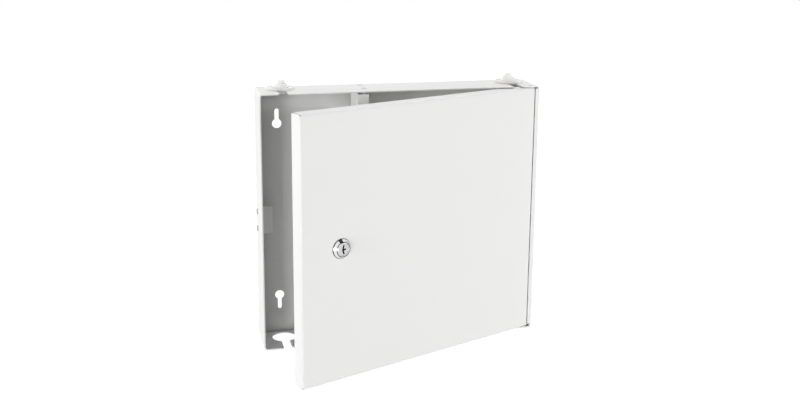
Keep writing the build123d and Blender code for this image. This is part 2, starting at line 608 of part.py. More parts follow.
def lock_housing():
    """The die-cast housing: bevelled head outside, barrel with two flats inside."""
    head = LOCK_HEAD_DIAMETER / 2
    front = LOCK_HEAD_FRONT_DIAMETER / 2
    face = LOCK_FACE_DIAMETER / 2
    groove = LOCK_GROOVE_DEPTH - LOCK_HEAD_HEIGHT
    barrel = LOCK_BARREL_DIAMETER / 2
    bore = LOCK_PLUG_DIAMETER / 2 + LOCK_RUNNING_CLEARANCE
    housing = lock_piece([
        (bore, -LOCK_HEAD_HEIGHT), (face - LOCK_HEAD_ROUND, -LOCK_HEAD_HEIGHT),
        (face, -LOCK_HEAD_HEIGHT + LOCK_HEAD_ROUND), (face, groove), (front, groove),
        (front, -LOCK_HEAD_HEIGHT + LOCK_HEAD_ROUND), (head - LOCK_HEAD_ROUND, -LOCK_HEAD_EDGE),
        (head, -LOCK_HEAD_EDGE + LOCK_HEAD_ROUND), (head, 0),
        (barrel, 0), (barrel, LOCK_BARREL_LENGTH), (bore, LOCK_BARREL_LENGTH)])
    half_flats = LOCK_BARREL_FLATS / 2
    for side in (-1, 1):
        housing -= block((LOCK_X + side * half_flats, LOCK_X + side * (half_flats + CUT_MARGIN)),
                         (FRONT_Y, LOCK_REAR_Y + CUT_MARGIN),
                         (LOCK_Z - LOCK_BARREL_DIAMETER, LOCK_Z + LOCK_BARREL_DIAMETER))
    return housing


def keyway():
    """The bent key slot, from the plug's face to past its last wafer."""
    def slot_between(start, end):
        along = Vector(*end) - Vector(*start)
        middle = (Vector(*start) + Vector(*end)) / 2
        angle = degrees(atan2(along.Y, along.X))
        return Pos(middle.X, middle.Y) * Rot(0, 0, angle) * SlotCenterToCenter(along.length, KEYWAY_WIDTH)

    plug = LOCK_PLUG_DIAMETER
    bends = [(plug * x, plug * y) for x, y in KEYWAY_BENDS_PER_PLUG]
    ward = (plug * KEYWAY_WARD_PER_PLUG[0], plug * KEYWAY_WARD_PER_PLUG[1])
    shape = slot_between(bends[0], bends[1])
    shape += slot_between(bends[1], bends[2])
    shape += slot_between(bends[1], ward)
    depth = WAFER_FIRST + WAFER_COUNT * WAFER_PITCH + KEYWAY_MARGIN
    start_y = FRONT_Y - LOCK_HEAD_HEIGHT - KEYWAY_MARGIN
    return Pos(LOCK_X, start_y, LOCK_Z) * Rot(90, 0, 0) * extrude(shape, depth, dir=(0, 0, -1))


def wafer_places():
    """The middle depth of each wafer, counted from the front of the lock."""
    front = FRONT_Y - LOCK_HEAD_HEIGHT
    return [front + WAFER_FIRST + index * WAFER_PITCH for index in range(WAFER_COUNT)]


def lock_plug():
    """The turning plug: keyway, wafer slots and the square for the cam."""
    plug = LOCK_PLUG_DIAMETER / 2
    front = LOCK_FACE_SET_BACK - LOCK_HEAD_HEIGHT
    body = lock_piece([
        (0, front), (plug - LOCK_HEAD_ROUND, front), (plug, front + LOCK_HEAD_ROUND),
        (plug, LOCK_BARREL_LENGTH), (0, LOCK_BARREL_LENGTH)])
    half = LOCK_SQUARE / 2
    square_end = LOCK_REAR_Y + CAM_END_CLEARANCE + CAM_THICKNESS + STOP_WASHER_THICKNESS
    body += block((LOCK_X - half, LOCK_X + half), (LOCK_REAR_Y, square_end),
                  (LOCK_Z - half, LOCK_Z + half))
    body -= keyway()
    slot_half = WAFER_THICKNESS / 2 + WAFER_CLEARANCE
    slot_width = WAFER_WIDTH / 2 + WAFER_CLEARANCE
    for y in wafer_places():
        body -= block((LOCK_X - slot_width, LOCK_X + slot_width), (y - slot_half, y + slot_half),
                      (LOCK_Z - LOCK_PLUG_DIAMETER, LOCK_Z + LOCK_PLUG_DIAMETER))
    thread = rod_along_y(CAM_SCREW_DIAMETER / 2, LOCK_X, LOCK_Z,
                         (square_end - CAM_SCREW_LENGTH, square_end + CUT_MARGIN))
    return body - thread


def lock_wafers():
    """The spring-less stack of wafers, drawn in flush as they are on a turned key."""
    wafers = []
    radius = LOCK_PLUG_DIAMETER / 2 - WAFER_CLEARANCE
    window = (WAFER_WIDTH / 2 - WAFER_RIM, LOCK_PLUG_DIAMETER / 2 - 2 * WAFER_RIM)
    for y in wafer_places():
        span = (y - WAFER_THICKNESS / 2, y + WAFER_THICKNESS / 2)
        wafer = rod_along_y(radius, LOCK_X, LOCK_Z, span)
        wafer &= block((LOCK_X - WAFER_WIDTH / 2, LOCK_X + WAFER_WIDTH / 2), span,
                       (LOCK_Z - LOCK_PLUG_DIAMETER, LOCK_Z + LOCK_PLUG_DIAMETER))
        wafer -= block((LOCK_X - window[0], LOCK_X + window[0]),
                       (span[0] - CUT_MARGIN, span[1] + CUT_MARGIN),
                       (LOCK_Z - window[1], LOCK_Z + window[1]))
        wafers.append(wafer)
    return Compound(children=wafers)


def hex_nut(across_flats, thickness, bore_radius, chamfer_size):
    """A hexagon nut along +Z from zero, its outer corners turned off."""
    circumradius = across_flats / 2 / cos(radians(30))
    nut = extrude(RegularPolygon(circumradius, 6), thickness)
    crown = turned([(0, 0), (circumradius - chamfer_size, 0), (circumradius, chamfer_size * 0.6),
                    (circumradius, thickness - chamfer_size * 0.6),
                    (circumradius - chamfer_size, thickness), (0, thickness)])
    return (nut & crown) - Pos(0, 0, thickness / 2) * Cylinder(bore_radius, thickness * 2)


def facing_back(y, x, z):
    """A place whose local +Z runs along +Y, into the enclosure."""
    return Pos(x, y, z) * Rot(-90, 0, 0)


def facing_front(y, x, z):
    """A place whose local +Z runs along -Y, out of the enclosure."""
    return Pos(x, y, z) * Rot(90, 0, 0)


def lock_tooth_washer():
    """The external tooth washer under the lock's nut."""
    outer = LOCK_WASHER_DIAMETER / 2
    disc = Circle(outer) - Circle(LOCK_BARREL_DIAMETER / 2 + LOCK_HOLE_CLEARANCE)
    gap_width = LOCK_WASHER_TOOTH_DEPTH * 0.8
    notch = Rectangle(LOCK_WASHER_TOOTH_DEPTH * 2, gap_width)
    for index in range(LOCK_WASHER_TEETH):
        disc -= Rot(0, 0, index * 360 / LOCK_WASHER_TEETH) * Pos(outer, 0) * notch
    washer = extrude(disc, LOCK_WASHER_THICKNESS)
    return facing_back(DOOR_INSIDE_Y, LOCK_X, LOCK_Z) * washer


def lock_nut():
    """The large hexagon nut that clamps the lock in the door."""
    nut = hex_nut(LOCK_NUT_ACROSS_FLATS, LOCK_NUT_THICKNESS,
                  LOCK_BARREL_DIAMETER / 2 + LOCK_HOLE_CLEARANCE, LOCK_NUT_CHAMFER)
    return facing_back(DOOR_INSIDE_Y + LOCK_WASHER_THICKNESS, LOCK_X, LOCK_Z) * nut


def lock_cam():
    """The flat cam, hanging down from the square while the lock is open."""
    tip = Pos(0, CAM_TIP_WIDTH / 2 - CAM_REACH) * Circle(CAM_TIP_WIDTH / 2)
    outline = make_hull(Circle(CAM_WIDTH / 2).edges() + tip.edges())
    square = LOCK_SQUARE + 2 * LOCK_SQUARE_CLEARANCE
    plate = extrude(outline - Rectangle(square, square), CAM_THICKNESS)
    plate = Rot(90, 0, 0) * plate
    return Pos(LOCK_X, LOCK_REAR_Y + CAM_END_CLEARANCE + CAM_THICKNESS, LOCK_Z) * plate


def lock_stop_washer():
    """The round washer that holds the cam on its square."""
    square = LOCK_SQUARE + 2 * LOCK_SQUARE_CLEARANCE
    disc = extrude(Circle(STOP_WASHER_DIAMETER / 2) - Rectangle(square, square), STOP_WASHER_THICKNESS)
    return facing_back(LOCK_REAR_Y + CAM_END_CLEARANCE + CAM_THICKNESS, LOCK_X, LOCK_Z) * disc


def lock_cam_screw():
    """The hexagon screw in the end of the plug."""
    seat_y = LOCK_REAR_Y + CAM_END_CLEARANCE + CAM_THICKNESS + STOP_WASHER_THICKNESS
    head = hex_nut(CAM_SCREW_HEAD_FLATS, CAM_SCREW_HEAD_HEIGHT, STUD_CHAMFER, STUD_NUT_CHAMFER)
    shank_length = CAM_SCREW_LENGTH - STUD_CHAMFER
    shank = Pos(0, 0, -shank_length / 2) * Cylinder(CAM_SCREW_DIAMETER / 2, shank_length)
    return facing_back(seat_y, LOCK_X, LOCK_Z) * (head + shank)


def earth_stud(length):
    """A welded stud along +Z, on its small round foot."""
    foot = STUD_FOOT_DIAMETER / 2
    radius = STUD_DIAMETER / 2
    return turned([(0, 0), (foot, 0), (foot, STUD_FOOT_HEIGHT), (radius, STUD_FOOT_HEIGHT),
                   (radius, length - STUD_CHAMFER), (radius - STUD_CHAMFER, length), (0, length)])


def earth_washer():
    """The plain washer on an earth stud, resting on the stud's foot."""
    bore = Cylinder(STUD_DIAMETER / 2 + STUD_BORE_CLEARANCE, STUD_WASHER_THICKNESS * 2)
    return Pos(0, 0, STUD_FOOT_HEIGHT + STUD_WASHER_THICKNESS / 2) * (
        Cylinder(STUD_WASHER_DIAMETER / 2, STUD_WASHER_THICKNESS) - bore)


def earth_nut():
    """The hexagon nut on an earth stud."""
    nut = hex_nut(STUD_NUT_ACROSS_FLATS, STUD_NUT_THICKNESS,
                  STUD_DIAMETER / 2 + STUD_BORE_CLEARANCE, STUD_NUT_CHAMFER)
    return Pos(0, 0, STUD_FOOT_HEIGHT + STUD_WASHER_THICKNESS) * nut


def write(name, piece):
    """Write one node's STEP file."""
    export_step(piece, f"parts/{name}.step")


def main():
    """Build every piece and write it under its node's name."""
    partition_places, strike_places = rivet_places()
    for name, wall in case_walls().items():
        write(name, wall)
    write("back_panel", back_panel())
    write("partition_plate", partition_plate())
    write("partition_rivets", Compound(children=[
        place * blind_rivet(2 * SHEET) for place in partition_places]))
    write("strike_bracket", strike_bracket())
    write("strike_rivets", Compound(children=[
        place * blind_rivet(SHEET + STRIKE_SHEET) for place in strike_places]))
    write("grommet_left", place_grommet(-1))
    write("grommet_right", place_grommet(1))
    write("pivot_upper", pivot(1, DOOR_TOP_Z))
    write("pivot_lower", pivot(-1, DOOR_BOTTOM_Z))
    write("pivot_washer_upper", pivot_washer(1, DOOR_TOP_Z))
    write("pivot_washer_lower", pivot_washer(-1, DOOR_BOTTOM_Z))

    body_stud = facing_front(BACK_INSIDE_Y, BODY_STUD_X, BODY_STUD_Z)
    write("body_earth_stud", body_stud * earth_stud(BODY_STUD_LENGTH))
    write("body_earth_washer", body_stud * earth_washer())
    write("body_earth_nut", body_stud * earth_nut())

    door_stud = facing_back(DOOR_INSIDE_Y, HINGE_X - DOOR_STUD_FROM_HINGE, DOOR_STUD_Z)
    door_pieces = {
        "door_panel": door_panel(),
        "lock_housing": lock_housing(),
        "lock_tooth_washer": lock_tooth_washer(),
        "lock_nut": lock_nut(),
        "lock_plug": lock_plug(),
        "lock_wafers": lock_wafers(),
        "lock_cam": lock_cam(),
        "lock_stop_washer": lock_stop_washer(),
        "lock_cam_screw": lock_cam_screw(),
        "door_earth_stud": door_stud * earth_stud(DOOR_STUD_LENGTH),
        "door_earth_washer": door_stud * earth_washer(),
        "door_earth_nut": door_stud * earth_nut(),
    }
    for name, piece in door_pieces.items():
        write(name, on_open_door(piece))


main()
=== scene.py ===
"""Looks for the small steel wall enclosure: painted sheet, chromed lock, plated fixings."""

import json
import math

import bmesh
import bpy
from mathutils import Matrix, Vector


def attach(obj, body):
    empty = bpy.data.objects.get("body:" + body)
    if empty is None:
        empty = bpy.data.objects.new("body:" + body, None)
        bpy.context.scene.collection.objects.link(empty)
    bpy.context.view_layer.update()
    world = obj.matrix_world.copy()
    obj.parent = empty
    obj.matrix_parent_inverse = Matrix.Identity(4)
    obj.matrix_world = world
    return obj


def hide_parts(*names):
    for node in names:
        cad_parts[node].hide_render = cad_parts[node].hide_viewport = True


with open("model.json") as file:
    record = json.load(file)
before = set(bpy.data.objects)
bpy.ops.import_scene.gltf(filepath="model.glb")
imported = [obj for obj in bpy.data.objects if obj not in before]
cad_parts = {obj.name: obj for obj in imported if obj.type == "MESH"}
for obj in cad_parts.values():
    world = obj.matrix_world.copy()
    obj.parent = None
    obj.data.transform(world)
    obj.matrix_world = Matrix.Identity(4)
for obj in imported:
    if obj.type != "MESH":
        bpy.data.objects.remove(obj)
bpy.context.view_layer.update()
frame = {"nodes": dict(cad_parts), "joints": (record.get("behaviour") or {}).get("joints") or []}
nodes = frame["nodes"]


# The case, its partition and its strike are folded from one gauge of steel sheet and
# powder coated pale grey after the spot welding, so the same coat lies over them all.
def new_group(name, inputs, outputs):
    """An empty shader node group with float or colour sockets, and its two end nodes."""
    group = bpy.data.node_groups.new(name, "ShaderNodeTree")
    for socket, kind, default in inputs:
        made = group.interface.new_socket(name=socket, in_out="INPUT", socket_type=kind)
        made.default_value = default
    for socket, kind in outputs:
        group.interface.new_socket(name=socket, in_out="OUTPUT", socket_type=kind)
    return group, group.nodes.new("NodeGroupInput"), group.nodes.new("NodeGroupOutput")


def noise_at(tree, vector, scale, detail, roughness=0.5):
    """A noise texture on the given coordinates; scale may be a socket or a number."""
    noise = tree.nodes.new("ShaderNodeTexNoise")
    noise.inputs["Detail"].default_value = detail
    noise.inputs["Roughness"].default_value = roughness
    tree.links.new(vector, noise.inputs["Vector"])
    if isinstance(scale, (int, float)):
        noise.inputs["Scale"].default_value = scale
    else:
        tree.links.new(scale, noise.inputs["Scale"])
    return noise.outputs["Fac"]


def ranged(tree, value, low, high):
    """Maps a 0 to 1 value onto the span between two numbers or sockets."""
    span = tree.nodes.new("ShaderNodeMapRange")
    tree.links.new(value, span.inputs["Value"])
    for socket, given in (("To Min", low), ("To Max", high)):
        if isinstance(given, (int, float)):
            span.inputs[socket].default_value = given
        else:
            tree.links.new(given, span.inputs[socket])
    return span.outputs["Result"]


MIX_FIRST = 6
MIX_SECOND = 7
MIX_RESULT = 2


def mixed_colour(tree, factor, first, second):
    """A colour between two, which are sockets or RGBA values, by a factor socket."""
    mix = tree.nodes.new("ShaderNodeMix")
    mix.data_type = "RGBA"
    tree.links.new(factor, mix.inputs["Factor"])
    for index, given in ((MIX_FIRST, first), (MIX_SECOND, second)):
        if isinstance(given, tuple):
            mix.inputs[index].default_value = given
        else:
            tree.links.new(given, mix.inputs[index])
    return mix.outputs[MIX_RESULT]


GRAIN_SCALE = 4200.0
GRAIN_SHARE = 0.25
HANDLING_SCALE = 9.0
CLOSED_IN = 0.3
OPEN_ENOUGH = 0.85


def powder_coat_group():
    """Orange peel, faint handling marks, and painted shade that darkens the coat in inner
    corners.
    """
    group, given, result = new_group(
        "powder_coat",
        [("Coat", "NodeSocketColor", (0.8, 0.8, 0.79, 1)),
         ("Deep coat", "NodeSocketColor", (0.76, 0.76, 0.75, 1)),
         ("Painted corner shade", "NodeSocketColor", (0.5, 0.5, 0.5, 1)),
         ("Painted shade reach", "NodeSocketFloat", 0.003),
         ("Peel scale", "NodeSocketFloat", 900.0),
         ("Smoothest", "NodeSocketFloat", 0.3),
         ("Roughest", "NodeSocketFloat", 0.5)],
        [("Colour", "NodeSocketColor"), ("Roughness", "NodeSocketFloat"),
         ("Height", "NodeSocketFloat")])
    place = group.nodes.new("ShaderNodeTexCoord").outputs["Object"]
    peel = noise_at(group, place, given.outputs["Peel scale"], 2.0)
    grain = noise_at(group, place, GRAIN_SCALE, 1.0)
    handling = noise_at(group, place, HANDLING_SCALE, 4.0, 0.6)
    shade = mixed_colour(group, handling, given.outputs["Coat"], given.outputs["Deep coat"])
    # Painted shade: where ambient occlusion finds other surfaces close by, the colour is mixed
    # toward a darker grey.
    occlusion = group.nodes.new("ShaderNodeAmbientOcclusion")
    occlusion.samples = 8
    group.links.new(given.outputs["Painted shade reach"], occlusion.inputs["Distance"])
    corner_shade_mask = group.nodes.new("ShaderNodeMapRange")
    group.links.new(occlusion.outputs["AO"], corner_shade_mask.inputs["Value"])
    corner_shade_mask.inputs["From Min"].default_value = CLOSED_IN
    corner_shade_mask.inputs["From Max"].default_value = OPEN_ENOUGH
    corner_shade_mask.inputs["To Min"].default_value = 1.0
    corner_shade_mask.inputs["To Max"].default_value = 0.0
    corner_shaded = mixed_colour(group, corner_shade_mask.outputs["Result"], shade, given.outputs["Painted corner shade"])
    group.links.new(corner_shaded, result.inputs["Colour"])
    rough = ranged(group, handling, given.outputs["Smoothest"], given.outputs["Roughest"])
    group.links.new(rough, result.inputs["Roughness"])
    height = group.nodes.new("ShaderNodeMath")
    height.operation = "MULTIPLY_ADD"
    group.links.new(grain, height.inputs[0])
    height.inputs[1].default_value = GRAIN_SHARE
    group.links.new(peel, height.inputs[2])
    group.links.new(height.outputs[0], result.inputs["Height"])
    return group


powder_coat = powder_coat_group()


def empty_material(name):
    """A node material holding only its output and a Principled BSDF."""
    material = bpy.data.materials.new(name)
    material.use_nodes = True
    return material, material.node_tree, material.node_tree.nodes["Principled BSDF"]


def add_group(tree, group, values):
    """Places a node group in a material with its own values."""
    node = tree.nodes.new("ShaderNodeGroup")
    node.node_tree = group
    for name, value in values.items():
        node.inputs[name].default_value = value
    return node


def bump_from(tree, height, shader, distance, strength):
    """Feeds a height through a Bump node into the shader's normal."""
    bump = tree.nodes.new("ShaderNodeBump")
    bump.inputs["Distance"].default_value = distance
    bump.inputs["Strength"].default_value = strength
    tree.links.new(height, bump.inputs["Height"])
    tree.links.new(bump.outputs["Normal"], shader.inputs["Normal"])


PEEL_SCALE = 900.0
PEEL_HEIGHT = 0.00006


def coated(name, coat, deep_coat, smoothest, roughest, corner_shade_grey=0.42, corner_shade_reach=0.005):
    """Powder coated steel in one colour, with painted shade darkening it where sheets meet."""
    material, tree, shader = empty_material(name)
    look = add_group(tree, powder_coat, {
        "Coat": (*coat, 1), "Deep coat": (*deep_coat, 1), "Peel scale": PEEL_SCALE,
        "Painted corner shade": (corner_shade_grey, corner_shade_grey, corner_shade_grey, 1), "Painted shade reach": corner_shade_reach,
        "Smoothest": smoothest, "Roughest": roughest})
    tree.links.new(look.outputs["Colour"], shader.inputs["Base Color"])
    tree.links.new(look.outputs["Roughness"], shader.inputs["Roughness"])
    bump_from(tree, look.outputs["Height"], shader, PEEL_HEIGHT, 0.35)
    shader.inputs["Specular IOR Level"].default_value = 0.45
    return material


def dress(material, *names):
    """Gives CAD nodes their finish."""
    for name in names:
        mesh = nodes[name].data
        mesh.materials.clear()
        mesh.materials.append(material)


CASE_WHITE = (0.80, 0.80, 0.795)
CASE_CLOUD = (0.785, 0.785, 0.78)
# The case carries the default painted shade: near inner corners its colour turns toward a 0.42
# grey.
case_coat = coated("case_powder_coat", CASE_WHITE, CASE_CLOUD, 0.36, 0.46)
dress(case_coat, "left_wall", "top_panel", "bottom_panel", "partition_plate")
# The right wall's copy of the coat has almost no painted shade, so the gap at the hinge stays
# lighter.
faint_shade_coat = coated("faint_shade_powder_coat", CASE_WHITE, CASE_CLOUD, 0.36, 0.46, 0.7, 0.0008)
dress(faint_shade_coat, "right_wall")
# The strike's copy of the coat is brighter than the case's: painted light, so the bracket stands
# out against the shaded back panel.
strike_lit_coat = coated("strike_powder_coat_painted_light", (0.88, 0.88, 0.875), CASE_CLOUD, 0.3, 0.4, 0.7, 0.0008)
dress(strike_lit_coat, "strike_bracket")
# The back panel's painted shade reaches about 30 mm, so the panel darkens beside the walls as
# their shadow would.
back_coat = coated("back_powder_coat", CASE_WHITE, CASE_CLOUD, 0.38, 0.48, 0.36, 0.03)
dress(back_coat, "back_panel")


# The door is a pan of the same sheet, pressed and mitred at its corners. It was coated
# on the same line, a shade smoother because its face hung outermost.
# Painted shade darkens the door toward a 0.3 grey within about 1.5 mm of its inner corners and
# relief holes.
door_coat = coated("door_powder_coat", (0.80, 0.80, 0.795), (0.79, 0.79, 0.785), 0.34, 0.42,
                   0.3, 0.0015)
dress(door_coat, "door_panel")


# The partition's blind rivets and the hinge's two headed pivots were set before coating,
# so their heads carry the coat too, thinner and a little glossier over the domes.
# Painted shade turns the coat nearly black within about 2 mm of where the heads meet the sheet.
rivet_coat = coated("rivet_powder_coat", (0.78, 0.78, 0.775), (0.72, 0.72, 0.715), 0.28, 0.4,
                    0.06, 0.002)
dress(rivet_coat, "partition_rivets", "pivot_upper", "pivot_lower")


# Natural nylon washers keep the door's flanges off the panels. They are die cut from
# strip and slightly waxy.
def plastic(name, colour, darker, scale, smoothest, roughest, height):
    """Moulded plastic or rubber with a fine tooled skin."""
    material, tree, shader = empty_material(name)
    place = tree.nodes.new("ShaderNodeTexCoord").outputs["Object"]
    skin = noise_at(tree, place, scale, 3.0)
    cloud = noise_at(tree, place, 60.0, 2.0)
    shade = mixed_colour(tree, cloud, (*colour, 1), (*darker, 1))
    tree.links.new(shade, shader.inputs["Base Color"])
    tree.links.new(ranged(tree, cloud, smoothest, roughest), shader.inputs["Roughness"])
    bump_from(tree, skin, shader, height, 0.4)
    return material


nylon = plastic("natural_nylon", (0.83, 0.82, 0.78), (0.78, 0.77, 0.73), 1500.0,
                0.4, 0.55, 0.00004)
nylon_shader = nylon.node_tree.nodes["Principled BSDF"]
nylon_shader.inputs["Subsurface Weight"].default_value = 0.15
nylon_shader.inputs["Subsurface Scale"].default_value = 0.0006
dress(nylon, "pivot_washer_upper", "pivot_washer_lower")


# The stepped grommets are moulded in a soft pale elastomer. The installer cuts the cone
# back to the ring that suits the cable, and the lip below snaps under the panel.
elastomer = plastic("grommet_elastomer", (0.87, 0.865, 0.85), (0.84, 0.835, 0.82), 1100.0,
                    0.42, 0.6, 0.00005)
dress(elastomer, "grommet_left", "grommet_right")


# The lock's housing and plug are die-cast zinc, polished and chromed. The plug carries a
# finer turned face than the bevelled head around it.
def fine_marks_group():
    """Soft scratches and polishing haze, as a mask from 0 to 1 and a height."""
    group, given, result = new_group(
        "fine_marks",
        [("Mark scale", "NodeSocketFloat", 300.0), ("Stretch", "NodeSocketFloat", 8.0)],
        [("Haze", "NodeSocketFloat"), ("Height", "NodeSocketFloat")])
    place = group.nodes.new("ShaderNodeTexCoord").outputs["Object"]
    stretched = group.nodes.new("ShaderNodeVectorMath")
    stretched.operation = "MULTIPLY"
    along = group.nodes.new("ShaderNodeCombineXYZ")
    along.inputs["X"].default_value = 1.0
    along.inputs["Y"].default_value = 1.0
    group.links.new(given.outputs["Stretch"], along.inputs["Z"])
    group.links.new(place, stretched.inputs[0])
    group.links.new(along.outputs[0], stretched.inputs[1])
    marks = noise_at(group, stretched.outputs[0], given.outputs["Mark scale"], 4.0, 0.65)
    haze = noise_at(group, place, 120.0, 3.0)
    group.links.new(haze, result.inputs["Haze"])
    group.links.new(marks, result.inputs["Height"])
    return group


fine_marks = fine_marks_group()


def plated(name, colour, smoothest, roughest, mark_scale, stretch, depth):
    """Bare or plated metal, its roughness and bump from the fine marks."""
    material, tree, shader = empty_material(name)
    look = add_group(tree, fine_marks, {"Mark scale": mark_scale, "Stretch": stretch})
    shader.inputs["Base Color"].default_value = (*colour, 1)
    shader.inputs["Metallic"].default_value = 1.0
    tree.links.new(ranged(tree, look.outputs["Haze"], smoothest, roughest),
                   shader.inputs["Roughness"])
    bump_from(tree, look.outputs["Height"], shader, depth, 0.3)
    return material


def lock_axis():
    """The middle of the lock in the door's face, and the way in, from the lock's joint."""
    joint = next(j for j in frame["joints"] if j["name"] == "key_turn")
    inward = Vector(joint["axis"]).normalized()
    points = [vertex.co for vertex in nodes["door_panel"].data.vertices]
    face = min(point.dot(inward) for point in points)
    centre = Vector(joint["pos_m"])
    return centre + inward * (face - centre.dot(inward)), inward


def about_lock_group():
    """How far a point lies from the lock's axis, and how far behind the door's face."""
    centre, inward = lock_axis()
    group, _, result = new_group("about_lock", [], [("Radius", "NodeSocketFloat"),
                                                    ("Depth", "NodeSocketFloat")])
    place = group.nodes.new("ShaderNodeTexCoord").outputs["Object"]
    offset = group.nodes.new("ShaderNodeVectorMath")
    offset.operation = "SUBTRACT"
    group.links.new(place, offset.inputs[0])
    offset.inputs[1].default_value = centre
    for operation, output, name in (("DOT_PRODUCT", "Value", "Depth"),
                                    ("CROSS_PRODUCT", "Vector", "Radius")):
        step = group.nodes.new("ShaderNodeVectorMath")
        step.operation = operation
        group.links.new(offset.outputs[0], step.inputs[0])
        step.inputs[1].default_value = inward
        found = step.outputs[output]
        if name == "Radius":
            size = group.nodes.new("ShaderNodeVectorMath")
            size.operation = "LENGTH"
            group.links.new(found, size.inputs[0])
            found = size.outputs["Value"]
        group.links.new(found, result.inputs[name])
    return group


about_lock = about_lock_group()


def between(tree, value, low, high, soft):
    """One inside a span of the value and zero outside it, with soft ends."""
    rise = tree.nodes.new("ShaderNodeMapRange")
    tree.links.new(value, rise.inputs["Value"])
    rise.inputs["From Min"].default_value = low - soft
    rise.inputs["From Max"].default_value = low + soft
    fall = tree.nodes.new("ShaderNodeMapRange")
    tree.links.new(value, fall.inputs["Value"])
    fall.inputs["From Min"].default_value = high - soft
    fall.inputs["From Max"].default_value = high + soft
    fall.inputs["To Min"].default_value = 1.0
    fall.inputs["To Max"].default_value = 0.0
    return product(tree, rise.outputs[0], fall.outputs[0])


def arithmetic(tree, operation, first, second):
    """One sum of two sockets or numbers."""
    step = tree.nodes.new("ShaderNodeMath")
    step.operation = operation
    for index, given in enumerate((first, second)):
        if isinstance(given, (int, float)):
            step.inputs[index].default_value = given
        else:
            tree.links.new(given, step.inputs[index])
    return step.outputs[0]


def product(tree, first, second):
    """Two masks multiplied."""
    return arithmetic(tree, "MULTIPLY", first, second)


def darkened(material, mask, colour, dark):
    """Lets a mask paint shade onto a metal, turning its colour to a darker one."""
    tree = material.node_tree
    tint = mixed_colour(tree, mask, (*colour, 1), (*dark, 1))
    tree.links.new(tint, tree.nodes["Principled BSDF"].inputs["Base Color"])


GROOVE_SPAN = (0.00690, 0.00770)
GROOVE_DEPTHS = (-0.00372, 0.0)
RIM_SPAN = (0.00975, 0.02)
RIM_DEPTHS = (-0.002, 0.0)
THREAD_FROM = 0.0016
THREAD_RADIUS = 0.0088
THREAD_PITCH = 0.0015
FAR_OFF = 1.0
POLISH_HEIGHT = 0.000008
KEYWAY_DEPTHS = (-0.0033, 0.0225)

chrome = plated("polished_chrome", (0.80, 0.80, 0.81), 0.10, 0.18, 500.0, 3.0, POLISH_HEIGHT)
housing_tree = chrome.node_tree
around = add_group(housing_tree, about_lock, {})
radius = around.outputs["Radius"]
depth = around.outputs["Depth"]
# Painted shade: the groove round the plug and the outer rim of the head are turned near black by
# masks.
groove_painted_shade = product(housing_tree, between(housing_tree, radius, *GROOVE_SPAN, 0.00006),
                    between(housing_tree, depth, *GROOVE_DEPTHS, 0.00004))
rim_painted_shade = product(housing_tree, between(housing_tree, radius, *RIM_SPAN, 0.00008),
                 between(housing_tree, depth, *RIM_DEPTHS, 0.00004))
darkened(chrome, arithmetic(housing_tree, "MAXIMUM", groove_painted_shade, rim_painted_shade),
         (0.78, 0.78, 0.79), (0.03, 0.03, 0.032))
thread_wave = arithmetic(housing_tree, "PINGPONG", depth, THREAD_PITCH / 2)
threaded = product(housing_tree, between(housing_tree, depth, THREAD_FROM, FAR_OFF, 0.0001),
                   between(housing_tree, radius, THREAD_RADIUS, FAR_OFF, 0.0001))
bump = housing_tree.nodes["Bump"]
marks = bump.inputs["Height"].links[0].from_socket
small_marks = product(housing_tree, marks, POLISH_HEIGHT)
bump.inputs["Distance"].default_value = 1.0
bump.inputs["Strength"].default_value = 0.6
housing_height = arithmetic(housing_tree, "ADD", product(housing_tree, thread_wave, threaded),
                            small_marks)
housing_tree.links.new(housing_height, bump.inputs["Height"])
dress(chrome, "lock_housing")

plug_chrome = plated("turned_chrome", (0.70, 0.695, 0.70), 0.16, 0.26, 900.0, 10.0, 0.000015)
plug_tree = plug_chrome.node_tree
inside = add_group(plug_tree, about_lock, {})
# Painted shade: behind the plug's face, inside the keyway, the chrome is turned near black.
keyway_painted_shade = between(plug_tree, inside.outputs["Depth"], *KEYWAY_DEPTHS, 0.0001)
darkened(plug_chrome, keyway_painted_shade, (0.62, 0.615, 0.62), (0.02, 0.02, 0.02))
dress(plug_chrome, "lock_plug")


# Cam, nuts and washers are punched or turned from mild steel and zinc plated with a
# clear blue passivate, which leaves a faint cloudy tint.
WARM_PASSIVATE = (0.72, 0.71, 0.68, 1)
BLUE_PASSIVATE = (0.62, 0.64, 0.68, 1)


def zinc_plate():
    """Zinc plate with its cloudy, slightly blue passivate."""
    material = plated("zinc_plate", (0.68, 0.69, 0.71), 0.28, 0.42, 400.0, 6.0, 0.00002)
    tree = material.node_tree
    shader = tree.nodes["Principled BSDF"]
    place = tree.nodes.new("ShaderNodeTexCoord").outputs["Object"]
    cloud = noise_at(tree, place, 140.0, 3.0)
    tint = mixed_colour(tree, cloud, WARM_PASSIVATE, BLUE_PASSIVATE)
    tree.links.new(tint, shader.inputs["Base Color"])
    return material


zinc = zinc_plate()
dress(zinc, "lock_tooth_washer", "lock_nut", "lock_cam", "lock_stop_washer", "lock_cam_screw",
      "body_earth_washer", "body_earth_nut", "door_earth_washer", "door_earth_nut")


# The strike's two rivets went in after the coating, so their heads are bare steel, coloured dark
# to stand for the shade under the domes: painted shade. They hold the bracket to the left wall.
shade_dark_steel = plated("shade_dark_rivet_steel", (0.26, 0.26, 0.27), 0.35, 0.5, 500.0, 2.0, 0.00001)
dress(shade_dark_steel, "strike_rivets")


# The wafers are stamped brass, coloured far darker than bare brass, and seen only through the key
# slot. They slide in the plug's cross slots.
brass = plated("dark_stamped_brass", (0.16, 0.12, 0.07), 0.35, 0.5, 600.0, 4.0, 0.00001)
dress(brass, "lock_wafers")


# The earth studs are copper flashed steel with a rolled thread, welded to the sheet by
# their small round feet. They stand for the plain CAD studs.
STUD_RADIUS = 0.003
STUD_ROOT_RADIUS = 0.00261
STUD_PITCH = 0.001
FOOT_RADIUS = 0.0038
FOOT_HEIGHT = 0.0008
STEPS_ROUND = 40
STEPS_PER_PITCH = 8


